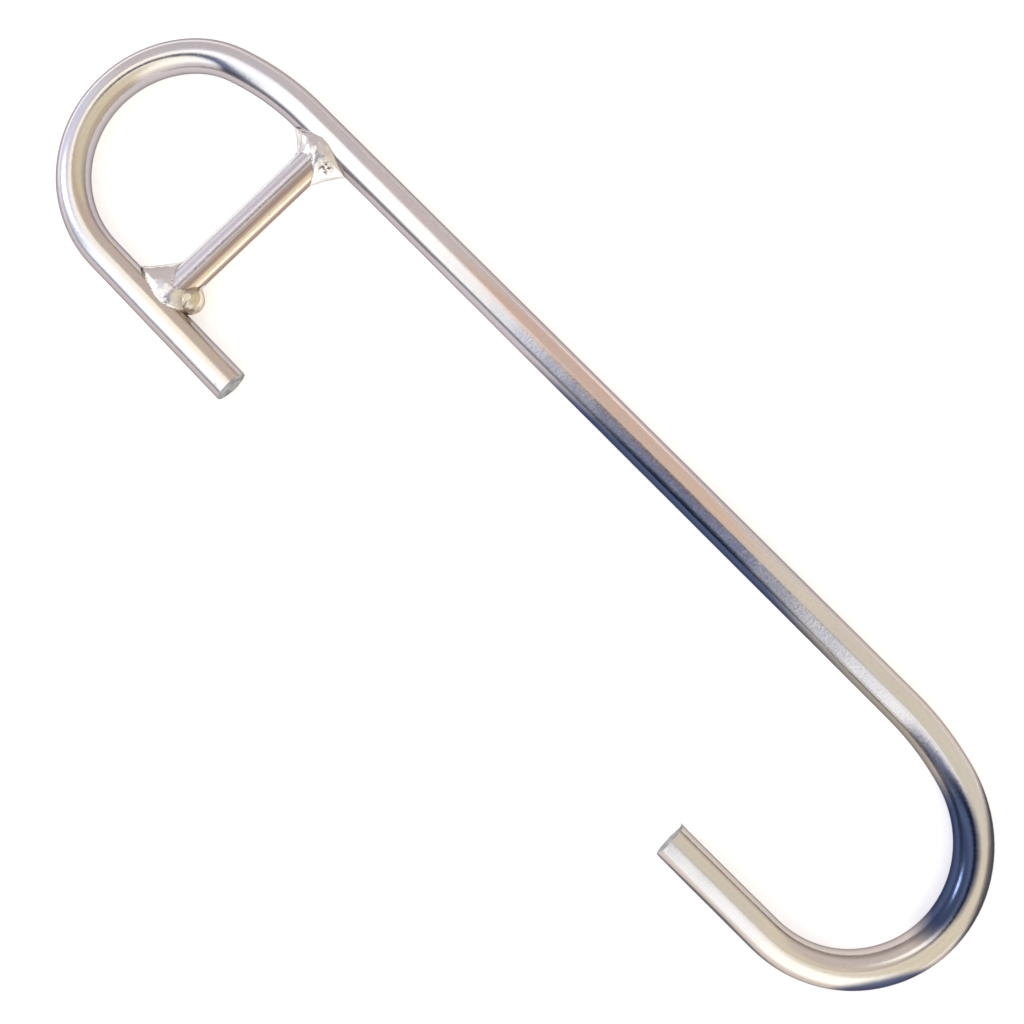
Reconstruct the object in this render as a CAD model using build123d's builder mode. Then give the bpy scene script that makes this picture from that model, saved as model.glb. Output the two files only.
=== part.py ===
"""Piling hook: a round bar bent into a long-shanked hook, with a cross bar welded
over its upper bend to close a rope eye.  It lies flat, rope eye towards -X, rail hook
towards +X and both bends on the -Y side of the shank.  Millimetres, +Z up, origin on
the ground under the middle of the hook's outline."""
from build123d import *
import os

# --- driving dimensions ---------------------------------------------------------
BAR = 10.0              # diameter of the bent bar
CROSS_BAR = 9.0         # diameter of the cross bar
SHANK = 224.6           # straight length between the two bends
STUB = 53.2             # straight length past the rope eye's bend
TIP = 32.4              # straight length past the rail hook's bend
# each bend from the shank outwards, as (centreline radius, turn in degrees)
EYE_BEND = [(81.7, 18.5), (26.8, 28.9), (33.8, 132.8)]
RAIL_BEND = [(73.2, 17.3), (32.6, 112.8), (29.1, 48.3)]
CROSS_ALONG = 10.3      # the cross bar's axis, along the shank from where it begins
ROOT_GAP = 0.2          # what each end of the cross bar stands off the bent bar

# Legs of the weld fillets, (along the bent bar, along the cross bar), on the rope
# eye's side of the cross bar and on the stub's side.
SHANK_WELD = {"eye": (5.9, 5.0), "stub": (5.2, 8.6)}
LEG_WELD = {"eye": (7.6, 9.8), "stub": (2.2, 9.2)}
WELD_HALF_HEIGHT = 4.94     # at the weld's crown, just under the bent bar's own
CROWN_DROP = 0.03           # how fast the weld falls away from its crown, per mm
CAP_REACH = 4.0             # how far the weld climbs over the round of the bent bar
CAP_WIDTH = 1.5             # what is left of its legs at the end of that climb
HOLLOW = 1.35               # 1 is a flat fillet face, more is a hollow one
DROPLET = 8.0               # diameter of the droplet hanging on the leg weld
DROPLET_OUT = 4.8           # its centre, out from the cross bar's axis
DROPLET_UP = 3.4            # its centre, off the side of the bent bar
DROPLET_TILTS = (-72, -54, -36, -18, 0, 18, 36, 54, 72)     # where its level rings lie


def draw_centreline(shank_start):
    """Draw the bent bar's centreline and return its two end lines, stub and tip."""
    shank_end = shank_start + Vector(SHANK, 0)
    Line(shank_start, shank_end)
    ends = []
    for start, heading, turn, bend, straight in (
        (shank_start, Vector(-1, 0), 1, EYE_BEND, STUB),
        (shank_end, Vector(1, 0), -1, RAIL_BEND, TIP),
    ):
        for radius, angle in bend:
            arc = JernArc(start, heading, radius, turn * angle)
            start, heading = arc @ 1, arc % 1
        ends.append(Line(start, start + heading * straight))
    return ends


# The origin is under the middle of the outline, so a trial centreline is measured.
with BuildLine() as trial:
    draw_centreline(Vector(0, 0))
middle = trial.line.bounding_box().center()
shank_start = Vector(-middle.X, -middle.Y, BAR / 2)

# --- the bent bar: one length of round bar, both ends cut square -------------------
with BuildPart() as hook_bar:
    with BuildLine() as centreline:
        stub, tip = draw_centreline(shank_start)
    with BuildSketch(Plane(origin=stub @ 1, z_dir=stub % 1)):
        Circle(BAR / 2)
    sweep(path=centreline.wire())
hook_bar.part.label = "hook_bar"

# --- the cross bar: cut square, and held just off the round of the bent bar ---------
cross_x = shank_start.X + CROSS_ALONG
along_stub = (cross_x - (stub @ 0).X) / STUB
shank_y = shank_start.Y
leg_y = (stub @ along_stub).Y

with BuildPart() as cross_bar:
    cross_top = (cross_x, shank_y - BAR / 2 - ROOT_GAP, BAR / 2)
    with BuildSketch(Plane(origin=cross_top, z_dir=(0, -1, 0))):
        Circle(CROSS_BAR / 2)
    extrude(amount=shank_y - leg_y - BAR - 2 * ROOT_GAP)
cross_bar.part.label = "cross_bar"


def bead_width(legs, along):
    """Half the weld's width on one side, at a distance off the bent bar's side."""
    on_bent_bar, on_cross_bar = legs
    if along < 0:
        left = 1 - (along / CAP_REACH) ** 2
        return CROSS_BAR / 2 + CAP_WIDTH + (on_bent_bar - CAP_WIDTH) * left
    left = 1 - along / on_cross_bar
    if left < 0:
        return CROSS_BAR / 2 + left
    return CROSS_BAR / 2 + on_bent_bar * left**HOLLOW


def bead_sections(bar_y, side, legs):
    """Sections of the weld around one end of the cross bar, before the bars are cut.

    bar_y is the bent bar's axis and side the way the cross bar leaves it, along Y.
    Each section is two half ellipses, one for each side of the cross bar: wide where
    the fillets run out along the bent bar, inside the cross bar at the fillets' toes.
    """
    reach = max(legs["eye"][1], legs["stub"][1])
    sections = []
    for along in (-CAP_REACH, 0, reach / 5, reach / 2, reach):
        half_height = WELD_HALF_HEIGHT - CROWN_DROP * along**2
        centre = (cross_x, bar_y + side * (BAR / 2 + along), BAR / 2)
        with BuildSketch(Plane(origin=centre, x_dir=(1, 0, 0), z_dir=(0, 1, 0))) as section:
            with BuildLine():
                EllipticalCenterArc((0, 0), bead_width(legs["eye"], along), half_height, 90, arc_size=180)
                EllipticalCenterArc((0, 0), bead_width(legs["stub"], along), half_height, 270, arc_size=180)
            make_face()
        sections.append(section.sketch)
    return sections


def droplet_rings(centre):
    """Level rings of the droplet, from its flattened foot to its flattened top."""
    rings = []
    for tilt in DROPLET_TILTS:
        out_and_up = Vector(DROPLET / 2, 0).rotate(Axis.Y, -tilt)
        with BuildSketch(Plane(centre + Vector(0, 0, out_and_up.Z))) as ring:
            Circle(out_and_up.X)
        rings.append(ring.sketch)
    return rings


# --- the two welds: solid metal in the corners between the bars --------------------
with BuildPart() as shank_weld:
    loft(sections=bead_sections(shank_y, -1, SHANK_WELD), ruled=True)
    add(hook_bar.part, mode=Mode.SUBTRACT)
    add(cross_bar.part, mode=Mode.SUBTRACT)
shank_weld.part.label = "shank_weld"

with BuildPart() as leg_weld:
    loft(sections=bead_sections(leg_y, 1, LEG_WELD), ruled=True)
    droplet_y = leg_y + BAR / 2 + DROPLET_UP
    loft(sections=droplet_rings(Vector(cross_x + DROPLET_OUT, droplet_y, BAR / 2)), ruled=True)
    add(hook_bar.part, mode=Mode.SUBTRACT)
    add(cross_bar.part, mode=Mode.SUBTRACT)
leg_weld.part.label = "leg_weld"

os.makedirs("parts", exist_ok=True)
for piece in (hook_bar, cross_bar, shank_weld, leg_weld):
    export_step(piece.part, f"parts/{piece.part.label}.step")
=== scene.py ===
"""Dresses the piling hook: the bent bar with its cut ends, the cross bar and the two weld
beads, their zinc plate, and the table and lights that they are looked at with.
Everything is in metres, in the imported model's own frame."""
import math

import bpy
import numpy as np
from mathutils import Matrix, Vector


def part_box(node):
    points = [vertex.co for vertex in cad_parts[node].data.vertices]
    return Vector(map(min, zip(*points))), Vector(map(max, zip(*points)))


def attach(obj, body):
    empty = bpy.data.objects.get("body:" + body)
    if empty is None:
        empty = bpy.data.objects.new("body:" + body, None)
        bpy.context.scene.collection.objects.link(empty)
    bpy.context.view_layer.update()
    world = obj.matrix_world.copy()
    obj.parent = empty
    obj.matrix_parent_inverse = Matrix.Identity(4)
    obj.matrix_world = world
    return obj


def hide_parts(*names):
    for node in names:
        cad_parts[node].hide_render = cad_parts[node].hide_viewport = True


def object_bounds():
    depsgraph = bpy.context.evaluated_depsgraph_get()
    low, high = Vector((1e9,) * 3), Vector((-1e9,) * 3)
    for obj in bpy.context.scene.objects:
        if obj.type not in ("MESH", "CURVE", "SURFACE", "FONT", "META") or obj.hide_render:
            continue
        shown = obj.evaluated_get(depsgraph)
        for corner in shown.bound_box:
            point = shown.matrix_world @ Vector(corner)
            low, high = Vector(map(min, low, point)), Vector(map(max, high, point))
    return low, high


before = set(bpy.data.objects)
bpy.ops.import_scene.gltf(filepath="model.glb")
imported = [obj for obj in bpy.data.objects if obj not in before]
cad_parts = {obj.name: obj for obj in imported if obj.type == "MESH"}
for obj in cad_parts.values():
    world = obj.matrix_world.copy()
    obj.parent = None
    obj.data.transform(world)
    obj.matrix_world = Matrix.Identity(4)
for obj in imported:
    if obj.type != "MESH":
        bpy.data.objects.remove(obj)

bl_info = {
    "name": "Piling Hook",
    "version": (1, 0, 0),
    "blender": (4, 5, 0),
    "location": "View3D > Sidebar > Hook",
    "description": "Builds the finish of a zinc plated mooring piling hook",
    "category": "Object",
}

CAD_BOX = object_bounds()
MM = 0.001
BAR_TOLERANCE = 0.3 * MM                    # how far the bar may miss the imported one
END_RINGS = (0.35 * MM, 1.6 * MM, 1.6 * MM)  # inset one inside another on each cut end
WAVE_SIZE = 0.009                           # length of the drawn bar's waves
LUMP_SIZE = 0.0055                          # and of a weld bead's lumps
RIPPLE_SIZE = 0.0014                        # and of its ripples


# --- sizes and colours a user would change ------------------------------------------
def colour_property(name, description, default):
    """A colour that a user can change."""
    return bpy.props.FloatVectorProperty(
        name=name, description=description, default=default, subtype="COLOR", min=0, max=1)


class BentBarSizes(bpy.types.PropertyGroup):
    """The bent bar, as it comes out of the bender."""

    diameter: bpy.props.FloatProperty(
        name="Bar", description="Diameter of the bent bar", default=0.010, unit="LENGTH")
    shank: bpy.props.FloatProperty(
        name="Shank", description="Straight length between the bends", default=0.2246, unit="LENGTH")
    stub: bpy.props.FloatProperty(
        name="Stub", description="Straight length past the rope eye", default=0.0532, unit="LENGTH")
    tip: bpy.props.FloatProperty(
        name="Tip", description="Straight length past the rail hook", default=0.0324, unit="LENGTH")
    eye_radii: bpy.props.FloatVectorProperty(
        name="Eye Radii", description="Centreline radii of the rope eye's bend, from the shank outwards",
        default=(0.0817, 0.0268, 0.0338), unit="LENGTH")
    eye_turns: bpy.props.FloatVectorProperty(
        name="Eye Turns", description="How far the bar turns at each of those radii",
        default=[math.radians(a) for a in (18.5, 28.9, 132.8)], unit="ROTATION")
    rail_radii: bpy.props.FloatVectorProperty(
        name="Rail Radii", description="Centreline radii of the rail hook's bend, from the shank outwards",
        default=(0.0732, 0.0326, 0.0291), unit="LENGTH")
    rail_turns: bpy.props.FloatVectorProperty(
        name="Rail Turns", description="How far the bar turns at each of those radii",
        default=[math.radians(a) for a in (17.3, 112.8, 48.3)], unit="ROTATION")
    facets: bpy.props.IntProperty(
        name="Facets", description="Faces round the bar", default=64, min=16)
    ring_pitch: bpy.props.FloatProperty(
        name="Ring Pitch", description="Distance from one ring of faces to the next", default=0.002,
        unit="LENGTH")
    waviness: bpy.props.FloatProperty(
        name="Waviness", description="How uneven the drawn bar is", default=0.00006, unit="LENGTH")
    burr: bpy.props.FloatProperty(
        name="Burr", description="Length of the shear burr on the tip", default=0.0009, unit="LENGTH")


class WeldSizes(bpy.types.PropertyGroup):
    """The skin of the weld beads."""

    voxel: bpy.props.FloatProperty(
        name="Fineness", description="Size of the bead's smallest detail", default=0.00022, unit="LENGTH")
    swell: bpy.props.FloatProperty(
        name="Swell", description="How far the bead flows onto the bars", default=0.00016, unit="LENGTH")
    lumps: bpy.props.FloatProperty(
        name="Lumps", description="Height of the bead's lumps", default=0.0007, unit="LENGTH")
    ripples: bpy.props.FloatProperty(
        name="Ripples", description="Height of the bead's ripples", default=0.00012, unit="LENGTH")
    droplet: bpy.props.FloatVectorProperty(
        name="Droplet", description="Middle of the droplet on the stub's weld",
        default=(-0.0965, -0.0256, 0.0050), unit="LENGTH")
    pitted: bpy.props.FloatVectorProperty(
        name="Pitted", description="Middle of the pitted corner of the shank's weld",
        default=(-0.0962, 0.0268, 0.0085), unit="LENGTH")


class ZincColours(bpy.types.PropertyGroup):
    """The plate and its clear passivate, with the painted reflections, highlights and shade put into it.
    """

    warm: colour_property("Warm", "Plate where the passivate yellows", (0.90, 0.87, 0.83))
    cool: colour_property("Cool", "Plate where the passivate blues", (0.82, 0.83, 0.88))
    # Painted shade and reflection: outside and inside darken the two flanks of the bent bar.
    outside: colour_property(
        "Outside", "Duller plate down the outside of the bends", (0.46, 0.41, 0.40))
    inside: colour_property(
        "Inside", "Duller plate down the inside of the bends", (0.47, 0.43, 0.44))
    # Painted reflections: gold, blue, slate and peach are reflected colours put into the bent bar's plate;
    # gold and brown also colour the droplet on the stub's weld.
    gold: colour_property("Gold", "Yellow bloom of the passivate", (0.80, 0.70, 0.50))
    blue: colour_property("Blue", "Deep blue bloom of the passivate", (0.036, 0.060, 0.13))
    slate: colour_property("Slate", "Dark line down the outside of a bend", (0.06, 0.07, 0.08))
    cross: colour_property("Cross Bar", "Plate over the cross bar", (0.82, 0.77, 0.77))
    streak: colour_property("Streak", "Dark drawing lines on the cross bar", (0.26, 0.22, 0.24))
    # Painted highlight and reflections: bright, tan, straw and brown are bands of reflected light and
    # shade across the cross bar.
    bright: colour_property(
        "Bright", "Brightest plate, down one side of the cross bar", (0.98, 0.97, 0.97))
    tan: colour_property(
        "Tan", "Tan plate beside the cross bar's yellowed side", (0.60, 0.47, 0.43))
    peach: colour_property("Peach", "Pinkish bloom along the shank", (0.95, 0.77, 0.62))
    straw: colour_property("Straw", "Yellowed side of the cross bar", (1.0, 0.86, 0.67))
    brown: colour_property("Brown", "Edge of the yellowed side", (0.42, 0.33, 0.27))
    bead: colour_property("Bead", "Plate over a weld bead", (0.94, 0.91, 0.86))
    crevice: colour_property(
        "Crevice", "Pits and cold laps that took little plate", (0.16, 0.12, 0.10))
    cut: colour_property("Cut End", "Sheared end faces", (0.20, 0.20, 0.20))
    grazing: colour_property(
        "Grazing", "How the plate mirrors at a grazing angle", (0.42, 0.40, 0.43))
    cross_roughness: bpy.props.FloatProperty(
        name="Cross Bar Roughness", description="Roughness of the cross bar's plate", default=0.23,
        subtype="FACTOR")
    roughness: bpy.props.FloatProperty(
        name="Roughness", description="Roughness of the bright plate", default=0.18, subtype="FACTOR")


class StudioSettings(bpy.types.PropertyGroup):
    """The table, the surround and the camera."""

    table: colour_property("Table", "Colour of the table", (0.50, 0.49, 0.49))
    sky: bpy.props.FloatVectorProperty(
        name="Sky", description="Colour of the open sky", default=(1.28, 1.27, 1.28),
        subtype="COLOR", min=0, soft_max=2)
    camera_place: bpy.props.FloatVectorProperty(
        name="Camera", description="Where the camera stands", default=(0.04427, -0.02002, 0.44363),
        unit="LENGTH")
    camera_target: bpy.props.FloatVectorProperty(
        name="Target", description="What the camera looks at", default=(-0.03617, 0.00098, 0.00500),
        unit="LENGTH")
    camera_up: bpy.props.FloatVectorProperty(
        name="Up", description="The way that is up in the view", default=(-0.70272, 0.69277, 0.16206),
        subtype="DIRECTION")
    lens: bpy.props.FloatProperty(
        name="Lens", description="Focal length, on a 36 mm frame", default=57.742)
    lens_shift: bpy.props.FloatVectorProperty(
        name="Lens Shift", description="How far the frame stands off the lens's axis, in frame widths",
        default=(0.1008, -0.1226), size=2)
    lamp_power: bpy.props.FloatProperty(
        name="Lamp", description="Power of the soft lamp, in watts", default=1.5)


# --- helpers --------------------------------------------------------------------------
def settings(name):
    """One of the scene's groups of sizes or colours."""
    return getattr(bpy.context.scene, name)


def centreline(sizes):
    """The bent bar's centreline as moves, with where each one starts.

    Every move is (start, heading, length, radius, turn), from the stub's end to the tip.
    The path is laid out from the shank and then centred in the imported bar's box.
    """
    def run(start, heading, sense, radii, turns, straight):
        moves = []
        for radius, turn in zip(radii, turns):
            moves.append((start.copy(), heading, radius * turn, radius, sense * turn))
            side = leftward(heading) * sense * radius
            heading_after = heading + sense * turn
            far = leftward(heading_after) * sense * radius
            start = start + side - far
            heading = heading_after
        moves.append((start.copy(), heading, straight, None, 0.0))
        return moves

    eye = run(Vector((0, 0, 0)), math.pi, 1, sizes.eye_radii, sizes.eye_turns, sizes.stub)
    rail = run(Vector((sizes.shank, 0, 0)), 0.0, -1, sizes.rail_radii, sizes.rail_turns, sizes.tip)
    reverse = []
    for start, heading, length, radius, turn in reversed(eye):
        end, heading_after = walk((start, heading, length, radius, turn), length)
        reverse.append((end, heading_after + math.pi, length, radius, -turn))
    moves = reverse + [(Vector((0, 0, 0)), 0.0, sizes.shank, None, 0.0)] + rail
    places = np.array([walk(m, m[2] * k / 40)[0] for m in moves for k in range(41)])
    low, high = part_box("hook_bar")
    middle = (low + high) / 2
    shift = middle - Vector((places.min(0) + places.max(0)) / 2)
    return [(start + shift, *rest) for start, *rest in moves]


def ahead(heading):
    """The way that a heading points."""
    return Vector((math.cos(heading), math.sin(heading), 0))


def leftward(heading):
    """The way to the left of a heading."""
    return Vector((-math.sin(heading), math.cos(heading), 0))


def walk(move, along):
    """Place and heading part way along one move of the centreline."""
    start, heading, length, radius, turn = move
    if radius is None:
        return start + ahead(heading) * along, heading
    sense = math.copysign(1, turn)
    later = heading + turn * along / length
    side = leftward(heading) * sense * radius
    far = leftward(later) * sense * radius
    return start + side - far, later


def straightened(obj, moves, attribute):
    """Give every vertex its place on the bar before it was bent: along, across, up."""
    samples = []
    run = 0.0
    for move in moves:
        count = max(2, round(move[2] / (0.25 * MM)))
        for k in range(count):
            place, heading = walk(move, move[2] * k / count)
            samples.append((place.x, place.y, heading, run + move[2] * k / count))
        run += move[2]
    samples = np.array(samples)
    co = np.zeros(len(obj.data.vertices) * 3)
    obj.data.vertices.foreach_get("co", co)
    co = co.reshape(-1, 3)
    out = np.zeros_like(co)
    for first in range(0, len(co), 2000):
        part = co[first:first + 2000]
        gap = (part[:, None, 0] - samples[None, :, 0]) ** 2 + (part[:, None, 1] - samples[None, :, 1]) ** 2
        near = samples[gap.argmin(1)]
        dx, dy = part[:, 0] - near[:, 0], part[:, 1] - near[:, 1]
        out[first:first + 2000, 0] = near[:, 3] + dx * np.cos(near[:, 2]) + dy * np.sin(near[:, 2])
        out[first:first + 2000, 1] = dy * np.cos(near[:, 2]) - dx * np.sin(near[:, 2])
        out[first:first + 2000, 2] = part[:, 2]
    layer = obj.data.attributes.new(attribute, "FLOAT_VECTOR", "POINT")
    layer.data.foreach_set("vector", out.ravel().astype(np.float32))


def only_none():
    """Select nothing, in object mode."""
    if bpy.context.object and bpy.context.object.mode != "OBJECT":
        bpy.ops.object.mode_set(mode="OBJECT")
    bpy.ops.object.select_all(action="DESELECT")


def only(obj):
    """Select one object and nothing else."""
    only_none()
    bpy.context.view_layer.objects.active = obj
    obj.select_set(True)


def roughen(obj, name, grain, height, middle=0.5, depth=2):
    """Push a surface in and out with soft cloudy noise, and apply it."""
    clouds = bpy.data.textures.new(name, "CLOUDS")
    clouds.noise_scale = grain
    clouds.noise_depth = depth
    push = obj.modifiers.new(name, "DISPLACE")
    push.texture = clouds
    push.texture_coords = "LOCAL"
    push.strength = height
    push.mid_level = middle
    only(obj)
    bpy.ops.object.modifier_apply(modifier=name)
    bpy.data.textures.remove(clouds)


def move_ring(step, count):
    """Extrude the selected ring in equal steps."""
    for _ in range(count):
        bpy.ops.mesh.extrude_region_move(TRANSFORM_OT_translate={"value": step})


# --- node helpers -------------------------------------------------------------------
class Nodes:
    """Short calls for building a node tree from left to right."""

    def __init__(self, tree):
        self.tree = tree
        self.column = 0

    def add(self, kind, inputs=None, **values):
        node = self.tree.nodes.new(kind)
        node.location = (self.column, -160 * (len(self.tree.nodes) % 5))
        self.column += 60
        for key, value in values.items():
            setattr(node, key, value)
        for key, value in (inputs or {}).items():
            self.feed(node.inputs[key], value)
        return node

    def feed(self, socket, value):
        """Link a socket to another one, or set its value."""
        if isinstance(value, bpy.types.NodeSocket):
            self.tree.links.new(value, socket)
        else:
            socket.default_value = value

    def math(self, operation, a, b=0.0, clamp=False):
        return self.add("ShaderNodeMath", {0: a, 1: b}, operation=operation, use_clamp=clamp).outputs[0]

    def scaled(self, vector, scale):
        return self.add("ShaderNodeVectorMath", {0: vector, 1: scale}, operation="MULTIPLY").outputs[0]

    def noise(self, vector, scale, detail=3.0, roughness=0.5):
        return self.add("ShaderNodeTexNoise", {
            "Vector": vector, "Scale": scale, "Detail": detail, "Roughness": roughness}).outputs["Fac"]

    def spread(self, value, low, high, out_low=0.0, out_high=1.0):
        return self.add("ShaderNodeMapRange", {
            "Value": value, "From Min": low, "From Max": high, "To Min": out_low, "To Max": out_high},
            interpolation_type="SMOOTHSTEP").outputs["Result"]

    def mix(self, amount, a, b):
        node = self.add("ShaderNodeMix", data_type="RGBA")
        for key, value in (("Factor", amount), (6, a), (7, b)):
            self.feed(node.inputs[key], value)
        return node.outputs[2]


def rgba(colour):
    """A colour with its alpha."""
    return (*colour, 1.0)


def finish_group(name, inputs, outputs):
    """An empty shader node group with named sockets, and its two ends."""
    tree = bpy.data.node_groups.new(name, "ShaderNodeTree")
    for socket, kind in inputs:
        tree.interface.new_socket(name=socket, in_out="INPUT", socket_type=kind)
    for socket, kind in outputs:
        tree.interface.new_socket(name=socket, in_out="OUTPUT", socket_type=kind)
    build = Nodes(tree)
    start = build.add("NodeGroupInput")
    return tree, build, start.outputs


VECTOR, COLOUR, VALUE = "NodeSocketVector", "NodeSocketColor", "NodeSocketFloat"


def bright_plate():
    """Zinc plate over drawn bar: cloudy passivate tint, drawing lines and fine grain."""
    if "bright_plate" in bpy.data.node_groups:
        return bpy.data.node_groups["bright_plate"]
    tree, build, given = finish_group(
        "bright_plate",
        [("Place", VECTOR), ("Along", VECTOR), ("Warm", COLOUR), ("Cool", COLOUR), ("Roughness", VALUE)],
        [("Color", COLOUR), ("Roughness", VALUE), ("Height", VALUE)])
    cloud = build.noise(given["Place"], 22.0, 2.0)
    tint = build.spread(cloud, 0.36, 0.64)
    grain = build.noise(given["Place"], 1500.0, 3.0, 0.6)
    lines = build.noise(given["Along"], 1400.0, 3.0, 0.6)
    broad = build.noise(given["Along"], 420.0, 2.0)
    dust = build.spread(build.noise(given["Place"], 700.0, 4.0, 0.7), 0.60, 0.74)
    shade = build.math("ADD", build.math("MULTIPLY", grain, 0.16), build.math("MULTIPLY", lines, 0.14))
    plate = build.mix(tint, given["Warm"], given["Cool"])
    clean = build.math("ADD", 0.84, shade, clamp=True)
    clean = build.math("SUBTRACT", clean, build.math("MULTIPLY", dust, 0.10))
    colour = build.scaled(plate, clean)
    rough = build.math("ADD", given["Roughness"], build.math("MULTIPLY", build.math(
        "SUBTRACT", grain, 0.5), 0.12))
    rough = build.math("ADD", rough, build.math("MULTIPLY", dust, 0.10))
    height = build.math("ADD", build.math("MULTIPLY", grain, 0.6), build.math("MULTIPLY", lines, 0.5))
    height = build.math("ADD", height, build.math("MULTIPLY", broad, 0.8))
    build.add("NodeGroupOutput", {"Color": colour, "Roughness": rough, "Height": height})
    return tree


def bead_skin():
    """Zinc plate over a weld: glossy swells, with dark pits where it is pitted."""
    if "bead_skin" in bpy.data.node_groups:
        return bpy.data.node_groups["bead_skin"]
    tree, build, given = finish_group(
        "bead_skin",
        [("Place", VECTOR), ("Bead", COLOUR), ("Crevice", COLOUR), ("Pitted", VALUE)],
        [("Color", COLOUR), ("Roughness", VALUE), ("Height", VALUE)])
    swell = build.noise(given["Place"], 330.0, 2.0)
    pits = build.spread(build.noise(given["Place"], 1100.0, 3.0, 0.6), 0.52, 0.42)
    pits = build.math("MULTIPLY", pits, given["Pitted"])
    grain = build.noise(given["Place"], 2200.0, 3.0, 0.6)
    clean = build.math("ADD", 0.88, build.math("MULTIPLY", grain, 0.16))
    dark = build.math("MULTIPLY", pits, 0.9)
    colour = build.mix(dark, build.scaled(given["Bead"], clean), given["Crevice"])
    rough = build.math("ADD", 0.20, build.math("MULTIPLY", grain, 0.10))
    rough = build.math("ADD", rough, build.math("MULTIPLY", pits, 0.3))
    height = build.math("ADD", build.math("MULTIPLY", swell, 1.0), build.math("MULTIPLY", grain, 0.06))
    height = build.math("SUBTRACT", height, build.math("MULTIPLY", pits, 0.5))
    build.add("NodeGroupOutput", {"Color": colour, "Roughness": rough, "Height": height})
    return tree


def blank_material(name):
    """A material with an empty node tree, and the calls to build it with."""
    material = bpy.data.materials.new(name)
    material.use_nodes = True
    material.node_tree.nodes.clear()
    return material, Nodes(material.node_tree)


def metal(name, group, wire, bump, distance):
    """A metal material around one finish group. wire gives the group's inputs."""
    material, build = blank_material(name)
    finish = build.add("ShaderNodeGroup", node_tree=group)
    for socket, value in wire(build).items():
        build.feed(finish.inputs[socket], value)
    relief = build.add("ShaderNodeBump", {
        "Height": finish.outputs["Height"], "Strength": bump, "Distance": distance})
    shader = build.add("ShaderNodeBsdfPrincipled", {
        "Base Color": finish.outputs["Color"], "Roughness": finish.outputs["Roughness"],
        "Metallic": 1.0, "Specular Tint": rgba(settings("zinc_colours").grazing),
        "Normal": relief.outputs["Normal"]})
    build.add("ShaderNodeOutputMaterial", {"Surface": shader.outputs["BSDF"]})
    return material


# Painted reflections on the bent bar, put into its colour as patches: how strongly, then the middle and
# the half length of each patch along the unbent bar, and its middle and half width across it.
PAINTED_REFLECTIONS = {
    "gold inside the stub": (0.60, 0.030, 0.060, -0.0017, 0.0025),
    "gold in the rope eye": (0.50, 0.100, 0.042, -0.0018, 0.0026),
    "peach on the shank": (0.85, 0.290, 0.060, 0.0012, 0.0026),
    "blue under the shank": (0.95, 0.322, 0.058, -0.0056, 0.0030),
    "slate under the shank": (0.80, 0.392, 0.044, -0.0056, 0.0020),
    "gold on the rail hook": (0.25, 0.470, 0.110, 0.0000, 0.0200),
    "blue in the rail hook": (0.97, 0.440, 0.026, -0.0032, 0.0040),
    "slate round the rail hook": (0.95, 0.440, 0.023, 0.0056, 0.0034),
    "blue round the rail hook": (0.92, 0.477, 0.012, 0.0054, 0.0037),
    "slate on the tip": (0.80, 0.520, 0.030, 0.0058, 0.0018),
}


def bent_bar_plate():
    """The bent bar's plate, its drawing lines running round the bends with the bar, with painted
    reflections and painted shade down its flanks.
    """
    colours = settings("zinc_colours")

    def wire(build):
        place = build.add("ShaderNodeAttribute", attribute_name="straight_bar").outputs["Vector"]
        split = build.add("ShaderNodeSeparateXYZ", {0: place}).outputs
        # Painted shade and reflection: both flanks of the bar are made darker in its colour.
        outside = build.spread(split["Y"], 0.0028, 0.0037)
        inside = build.spread(split["Y"], -0.0028, -0.0037)
        warm = build.mix(outside, rgba(colours.warm), rgba(colours.outside))
        warm = build.mix(inside, warm, rgba(colours.inside))
        cool = build.mix(outside, rgba(colours.cool), rgba(colours.outside))
        cool = build.mix(inside, cool, rgba(colours.inside))
        # Painted reflections: each patch mixes a reflected colour, gold, peach, blue or slate, into the
        # plate.
        ragged = build.math("SUBTRACT", build.noise(place, 150.0, 6.0, 0.65), 0.5)
        for name, (strength, along, length, across, width) in PAINTED_REFLECTIONS.items():
            off = build.math("DIVIDE", build.math("SUBTRACT", split["X"], along), length)
            out = build.math("DIVIDE", build.math("SUBTRACT", split["Y"], across), width)
            far = build.math("ADD", build.math("MULTIPLY", off, off), build.math("MULTIPLY", out, out))
            far = build.math("ADD", far, build.math("MULTIPLY", ragged, 0.3))
            here = build.math("MULTIPLY", strength, build.spread(far, 1.25, 0.45))
            painted_reflection = rgba(getattr(colours, name.split()[0]))
            warm, cool = build.mix(here, warm, painted_reflection), build.mix(here, cool, painted_reflection)
        return {"Place": place, "Along": build.scaled(place, (0.03, 1, 1)), "Warm": warm,
                "Cool": cool, "Roughness": colours.roughness}
    return metal("zinc_bent_bar", bright_plate(), wire, 0.5, 0.00005)


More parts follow.
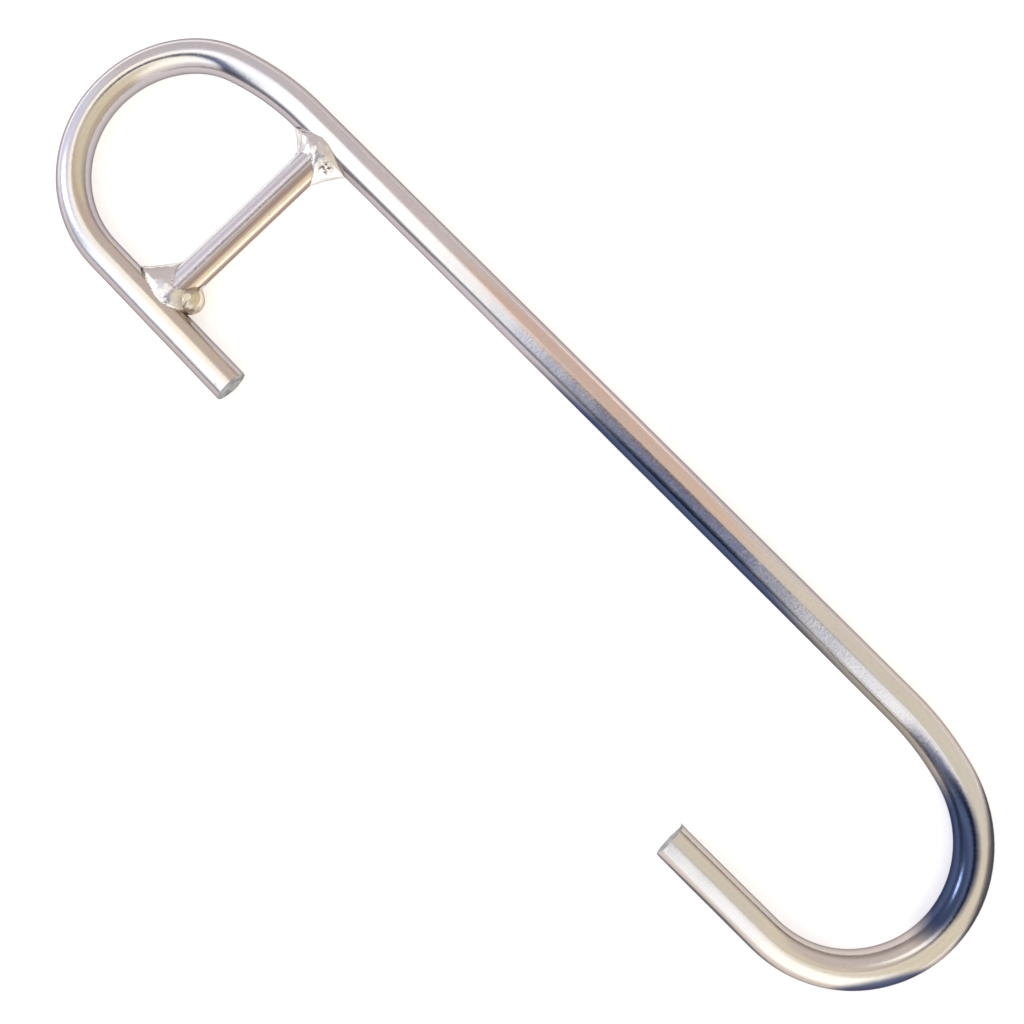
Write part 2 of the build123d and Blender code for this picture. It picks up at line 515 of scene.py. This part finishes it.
def cross_bar_plate():
    """The cross bar's plate with painted reflections in bands across it, from a painted highlight to a
    painted dark brown edge, with drawing lines along Y.
    """
    colours = settings("zinc_colours")
    low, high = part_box("cross_bar")
    middle = float(low[0] + high[0]) / 2

    def wire(build):
        place = build.add("ShaderNodeTexCoord").outputs["Object"]
        along = build.scaled(place, (1, 0.02, 1))
        x = build.add("ShaderNodeSeparateXYZ", {0: place}).outputs["X"]
        across = build.math("SUBTRACT", x, middle)
        lines = build.spread(build.noise(along, 1300.0, 3.0, 0.6), 0.44, 0.60)
        streaked = build.math("MULTIPLY", build.spread(across, -0.0006, 0.0010), build.spread(
            across, 0.0030, 0.0024))
        dark = build.math("MULTIPLY", build.math("MULTIPLY", streaked, lines), 0.45)
        # Painted highlight and reflections: the bright, tan, straw and brown bands across the bar.
        warm = build.mix(build.spread(across, -0.0012, -0.0018), rgba(colours.cross), rgba(colours.bright))
        warm = build.mix(build.spread(across, 0.0014, 0.0022), warm, rgba(colours.tan))
        warm = build.mix(dark, warm, rgba(colours.streak))
        warm = build.mix(build.spread(across, 0.0028, 0.0033), warm, rgba(colours.straw))
        warm = build.mix(build.spread(across, 0.0040, 0.0043), warm, rgba(colours.brown))
        return {"Place": place, "Along": along, "Warm": warm, "Cool": warm,
                "Roughness": colours.cross_roughness}
    return metal("zinc_cross_bar", bright_plate(), wire, 0.7, 0.00010)


def bead_plate():
    """The plate over the two welds: yellower on the droplet, pitted in one corner."""
    colours = settings("zinc_colours")
    sizes = settings("weld_sizes")

    def wire(build):
        place = build.add("ShaderNodeTexCoord").outputs["Object"]

        def near(spot, inner, outer):
            gap = build.add("ShaderNodeVectorMath", {0: place, 1: tuple(spot)}, operation="DISTANCE")
            return build.spread(gap.outputs["Value"], outer, inner)
        cloud = build.spread(build.noise(place, 260.0, 2.0), 0.42, 0.60)
        bead = build.mix(cloud, rgba(colours.bead), rgba(colours.warm))
        burnt = build.mix(build.math("MULTIPLY", cloud, 0.55), rgba(colours.gold), rgba(colours.brown))
        bead = build.mix(near(sizes.droplet, 0.0036, 0.0056), bead, burnt)
        return {"Place": place, "Bead": bead, "Crevice": rgba(colours.crevice),
                "Pitted": near(sizes.pitted, 0.0010, 0.0028)}
    return metal("zinc_weld_bead", bead_skin(), wire, 0.5, 0.00035)


def cut_end_plate():
    """A sheared end face: dull, with the shear's lines up and down it."""
    colours = settings("zinc_colours")
    material, build = blank_material("zinc_cut_end")
    place = build.add("ShaderNodeTexCoord").outputs["Object"]
    lines = build.noise(build.scaled(place, (1, 1, 0.1)), 1600.0, 3.0, 0.6)
    torn = build.noise(place, 500.0, 4.0, 0.6)
    light = [min(1.0, c * 2.1) for c in colours.cut]
    colour = build.mix(build.spread(torn, 0.42, 0.62), rgba(colours.cut), rgba(light))
    height = build.math("ADD", lines, build.math("MULTIPLY", torn, 0.8))
    relief = build.add("ShaderNodeBump", {"Height": height, "Strength": 0.7, "Distance": 0.00025})
    rough = build.math("ADD", 0.36, build.math("MULTIPLY", lines, 0.2))
    shader = build.add("ShaderNodeBsdfPrincipled", {
        "Base Color": colour, "Roughness": rough, "Metallic": 1.0,
        "Normal": relief.outputs["Normal"]})
    build.add("ShaderNodeOutputMaterial", {"Surface": shader.outputs["BSDF"]})
    return material


# --- pieces -----------------------------------------------------------------------------
class HOOK_OT_bent_bar(bpy.types.Operator):
    """Bend the bar: one ring carried along the centreline, then both ends closed"""

    bl_idname = "hook.bent_bar"
    bl_label = "Bent Bar"

    def execute(self, context):
        sizes = settings("bent_bar")
        moves = centreline(sizes)
        start, heading = moves[0][0], moves[0][1]
        only_none()
        bpy.ops.mesh.primitive_circle_add(
            vertices=sizes.facets, radius=sizes.diameter / 2, location=start,
            rotation=(math.pi / 2, 0, heading + math.pi / 2))
        bar = context.object
        bar.name = "bent_bar"
        bar.data.name = "bent_bar"
        bpy.ops.object.transform_apply(location=True, rotation=True, scale=True)
        bpy.ops.object.mode_set(mode="EDIT")
        bpy.ops.mesh.select_all(action="SELECT")
        for move in moves:
            place, heading, length, radius, turn = move
            count = max(1, round(length / sizes.ring_pitch))
            if radius is None:
                step = ahead(heading) * length / count
                move_ring(step, count)
            else:
                side = leftward(heading) * math.copysign(radius, turn)
                bpy.ops.mesh.spin(steps=count, angle=-turn, center=place + side, axis=(0, 0, 1))
        bpy.ops.object.mode_set(mode="OBJECT")
        self.check(bar)
        self.close_ends(bar)
        self.raise_burr(bar, moves[-1], sizes)
        straightened(bar, moves, "straight_bar")
        roughen(bar, "drawn_bar", WAVE_SIZE, sizes.waviness)
        only(bar)
        bpy.ops.object.shade_smooth_by_angle(angle=math.radians(40))
        bar.data.materials.append(bent_bar_plate())
        bar.data.materials.append(cut_end_plate())
        for face in bar.data.polygons:
            if self.is_end(face, moves):
                face.material_index = 1
        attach(bar, "root")
        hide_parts("hook_bar")
        return {"FINISHED"}

    def check(self, bar):
        """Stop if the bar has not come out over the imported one."""
        low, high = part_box("hook_bar")
        for corner, pick in ((low, min), (high, max)):
            for axis in range(3):
                reach = pick(v.co[axis] for v in bar.data.vertices)
                if abs(reach - corner[axis]) > BAR_TOLERANCE:
                    raise RuntimeError(f"the bent bar reaches {reach} and the packed one {corner[axis]}")

    def close_ends(self, bar):
        """Close the two open rings, with a narrow sheared rim round each."""
        only(bar)
        bpy.ops.object.mode_set(mode="EDIT")
        bpy.ops.mesh.select_all(action="DESELECT")
        bpy.ops.mesh.select_mode(type="EDGE")
        bpy.ops.mesh.select_non_manifold(extend=False, use_boundary=True)
        bpy.ops.mesh.edge_face_add()
        bpy.ops.mesh.select_mode(type="FACE")
        for width in END_RINGS:
            bpy.ops.mesh.inset(thickness=width)
        bpy.ops.mesh.select_all(action="SELECT")
        bpy.ops.mesh.normals_make_consistent(inside=False)
        bpy.ops.object.mode_set(mode="OBJECT")

    def raise_burr(self, bar, last, sizes):
        """Draw out the shear's burr, on the corner of the tip that faces the shank."""
        place, heading = walk(last, last[2])
        along = ahead(heading)
        inward = -leftward(heading)
        corner = place + inward * sizes.diameter / 2
        only(bar)
        bpy.ops.object.mode_set(mode="EDIT")
        bpy.ops.mesh.select_mode(type="VERT")
        bpy.ops.mesh.select_all(action="DESELECT")
        bpy.ops.object.mode_set(mode="OBJECT")
        near = min(bar.data.vertices, key=lambda v: (v.co - corner - along * 0.2 * MM).length)
        near.select = True
        bpy.ops.object.mode_set(mode="EDIT")
        bpy.ops.transform.translate(
            value=along * sizes.burr + inward * 0.15 * MM, use_proportional_edit=True,
            proportional_edit_falloff="SHARP", proportional_size=2.2 * MM)
        bpy.ops.object.mode_set(mode="OBJECT")

    def is_end(self, face, moves):
        """Whether a face belongs to one of the two cut ends."""
        first, last = moves[0], moves[-1]
        ends = ((first[0], first[1]), walk(last, last[2]))
        for place, heading in ends:
            along = ahead(heading)
            if abs(face.normal.dot(along)) > 0.8 and (face.center - place).length < 6 * MM:
                return True
        return False


class HOOK_OT_cross_bar(bpy.types.Operator):
    """Plate the cross bar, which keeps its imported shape"""

    bl_idname = "hook.cross_bar"
    bl_label = "Cross Bar"

    def execute(self, context):
        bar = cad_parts["cross_bar"]
        bar.data.materials.clear()
        bar.data.materials.append(cross_bar_plate())
        return {"FINISHED"}


class HOOK_OT_weld_beads(bpy.types.Operator):
    """Lay the two weld beads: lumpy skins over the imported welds"""

    bl_idname = "hook.weld_beads"
    bl_label = "Weld Beads"

    def execute(self, context):
        sizes = settings("weld_sizes")
        plate = bead_plate()
        for node in ("shank_weld", "leg_weld"):
            bead = bpy.data.objects.new(node + "_bead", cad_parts[node].data.copy())
            bead.data.name = bead.name
            context.scene.collection.objects.link(bead)
            only(bead)
            bpy.ops.object.mode_set(mode="EDIT")
            bpy.ops.mesh.select_all(action="SELECT")
            bpy.ops.mesh.remove_doubles(threshold=0.005 * MM)
            bpy.ops.object.mode_set(mode="OBJECT")
            skin = bead.modifiers.new("skin", "REMESH")
            skin.mode = "VOXEL"
            skin.voxel_size = sizes.voxel
            bpy.ops.object.modifier_apply(modifier="skin")
            flow = bead.modifiers.new("flow", "SMOOTH")
            flow.factor = 0.5
            flow.iterations = 5
            bpy.ops.object.modifier_apply(modifier="flow")
            roughen(bead, "lumps", LUMP_SIZE, sizes.lumps, 0.5 - sizes.swell / sizes.lumps, 1)
            roughen(bead, "ripples", RIPPLE_SIZE, sizes.ripples)
            only(bead)
            bpy.ops.object.shade_smooth()
            bead.data.materials.clear()
            bead.data.materials.append(plate)
            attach(bead, "root")
            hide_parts(node)
        return {"FINISHED"}


# --- the studio ----------------------------------------------------------------------
TABLE_SIDE = 6.0
TABLE_GLOW = 0.45           # what the table adds where it is looked at or mirrored
LAMP_PLACE = (-0.68, -0.40, 0.50)
LAMP_SIDE = 0.2
FRAME_WIDTH = 36.0
# Past this X the sky's edge leans over towards +Y, by this slope and at most this much.
LEAN_FROM, LEAN_SLOPE, LEAN_MOST = -0.1, 1.8, 0.32
# What stands round the hook: a colour, then the ramps that bound it. A ramp is a way,
# where it starts and where it is full. "past" runs towards +Y from the sky's edge.
COAT = (("x", -0.160, -0.126), ("x", 0.12, 0.065))
SURROUND = {
    "taupe wall": ((0.62, 0.54, 0.54), ("past", -0.05, 0.08)),
    "cream wall": ((0.76, 0.69, 0.56), ("past", -0.05, 0.08), ("x", -0.02, 0.09)),
    "cream side": ((0.76, 0.70, 0.60), ("x", 0.14, 0.30), ("y", -0.35, -0.15)),
    "lilac side": ((0.72, 0.71, 0.83), ("x", -0.38, -0.48)),
    "grey side": ((0.60, 0.54, 0.55), ("x", -0.38, -0.48), ("y", -0.05, 0.15)),
    "coat": ((0.035, 0.045, 0.13), *COAT, ("y", 0.13, 0.05)),
    "sleeve": ((0.045, 0.070, 0.21), *COAT, ("y", -0.38, -0.52), ("y", -0.88, -0.76)),
    "hem": ((0.025, 0.05, 0.11), *COAT, ("y", -0.80, -0.90)),
    "blue skirting": ((0.40, 0.45, 0.54), ("x", -0.04, -0.14), ("y", -0.5, -0.8), ("z", 0.36, 0.24)),
}


class HOOK_OT_studio(bpy.types.Operator):
    """Set the table, the soft surround, the lamp and the camera"""

    bl_idname = "hook.studio"
    bl_label = "Studio"

    def execute(self, context):
        self.table(settings("studio"))
        self.surround(context.scene, settings("studio"))
        self.lamp(settings("studio"))
        self.camera(context.scene, settings("studio"))
        context.scene.view_settings.view_transform = "Standard"
        return {"FINISHED"}

    def table(self, studio):
        """A pale table top, a little larger than the light reaches."""
        only_none()
        bpy.ops.mesh.primitive_plane_add(size=TABLE_SIDE, location=(0, 0, CAD_BOX[0][2]))
        table = bpy.context.object
        table.name = "table"
        material, build = blank_material("table_top")
        ray = build.add("ShaderNodeLightPath")
        seen = ray.outputs["Is Camera Ray"]
        for way in ("Is Glossy Ray", "Is Transmission Ray"):
            seen = build.math("MAXIMUM", seen, ray.outputs[way])
        paint = build.mix(seen, rgba(studio.table), (1, 1, 1, 1))
        matt = build.add("ShaderNodeBsdfPrincipled", {
            "Base Color": paint, "Roughness": 0.9, "Specular IOR Level": 0.0,
            "Emission Color": paint, "Emission Strength": build.math("MULTIPLY", seen, TABLE_GLOW)})
        build.add("ShaderNodeOutputMaterial", {"Surface": matt.outputs["BSDF"]})
        table.data.materials.append(material)

    def surround(self, scene, studio):
        """A bright sky with walls and a dark coat in it, for the plate to mirror."""
        world = bpy.data.worlds.new("surround")
        scene.world = world
        world.use_nodes = True
        world.node_tree.nodes.clear()
        build = Nodes(world.node_tree)
        way = build.add("ShaderNodeTexCoord").outputs["Generated"]
        split = build.add("ShaderNodeSeparateXYZ", {0: way}).outputs
        x, y, z = split["X"], split["Y"], split["Z"]
        beyond = build.math("MAXIMUM", build.math("SUBTRACT", LEAN_FROM, x), 0.0)
        lean = build.math("MINIMUM", build.math("MULTIPLY", beyond, LEAN_SLOPE), LEAN_MOST)
        ways = {"x": x, "y": y, "z": z, "past": build.math("SUBTRACT", y, lean)}
        colour = rgba(studio.sky)
        for paint, *ramps in SURROUND.values():
            amount = 1.0
            for way, start, end in ramps:
                amount = build.math("MULTIPLY", amount, build.spread(ways[way], start, end))
            colour = build.mix(amount, colour, rgba(paint))
        light = build.add("ShaderNodeBackground", {"Color": colour, "Strength": 1.0})
        build.add("ShaderNodeOutputWorld", {"Surface": light.outputs["Background"]})

    def lamp(self, studio):
        """One soft lamp, low on the rope eye's side."""
        light = bpy.data.lights.new("soft_lamp", "AREA")
        light.shape = "RECTANGLE"
        light.size = light.size_y = LAMP_SIDE
        light.energy = studio.lamp_power
        lamp = bpy.data.objects.new("soft_lamp", light)
        bpy.context.scene.collection.objects.link(lamp)
        lamp.location = LAMP_PLACE
        lamp.rotation_euler = (Vector((0, 0, 0)) - lamp.location).to_track_quat("-Z", "Y").to_euler()

    def camera(self, scene, studio):
        """The camera looks down on the hook, with the shank across the view."""
        lens = bpy.data.cameras.new("camera")
        lens.lens = studio.lens
        lens.sensor_width = FRAME_WIDTH
        lens.shift_x, lens.shift_y = studio.lens_shift
        lens.clip_start = 0.01
        camera = bpy.data.objects.new("camera", lens)
        scene.collection.objects.link(camera)
        back = (Vector(studio.camera_place) - Vector(studio.camera_target)).normalized()
        right = Vector(studio.camera_up).cross(back).normalized()
        up = back.cross(right)
        turn = Matrix((right, up, back)).transposed()
        camera.matrix_world = Matrix.Translation(studio.camera_place) @ turn.to_4x4()
        scene.camera = camera


class HOOK_PT_panel(bpy.types.Panel):
    """The hook's steps and sizes"""

    bl_idname = "HOOK_PT_panel"
    bl_label = "Piling Hook"
    bl_space_type = "VIEW_3D"
    bl_region_type = "UI"
    bl_category = "Hook"

    def draw(self, context):
        for group in GROUPS:
            box = self.layout.box()
            values = settings(group)
            for prop in values.bl_rna.properties:
                if prop.identifier not in {"rna_type", "name"}:
                    box.prop(values, prop.identifier)
        for step in STEPS:
            self.layout.operator(step.bl_idname)


GROUPS = {
    "bent_bar": BentBarSizes,
    "weld_sizes": WeldSizes,
    "zinc_colours": ZincColours,
    "studio": StudioSettings,
}
STEPS = (HOOK_OT_bent_bar, HOOK_OT_cross_bar, HOOK_OT_weld_beads, HOOK_OT_studio)


def register():
    for name, group in GROUPS.items():
        bpy.utils.register_class(group)
        setattr(bpy.types.Scene, name, bpy.props.PointerProperty(type=group))
    for step in STEPS:
        bpy.utils.register_class(step)
    bpy.utils.register_class(HOOK_PT_panel)


def unregister():
    bpy.utils.unregister_class(HOOK_PT_panel)
    for step in reversed(STEPS):
        bpy.utils.unregister_class(step)
    for name, group in GROUPS.items():
        delattr(bpy.types.Scene, name)
        bpy.utils.unregister_class(group)


def main():
    register()
    bpy.ops.hook.bent_bar()
    bpy.ops.hook.cross_bar()
    bpy.ops.hook.weld_beads()
    bpy.ops.hook.studio()


if __name__ == "__main__":
    main()
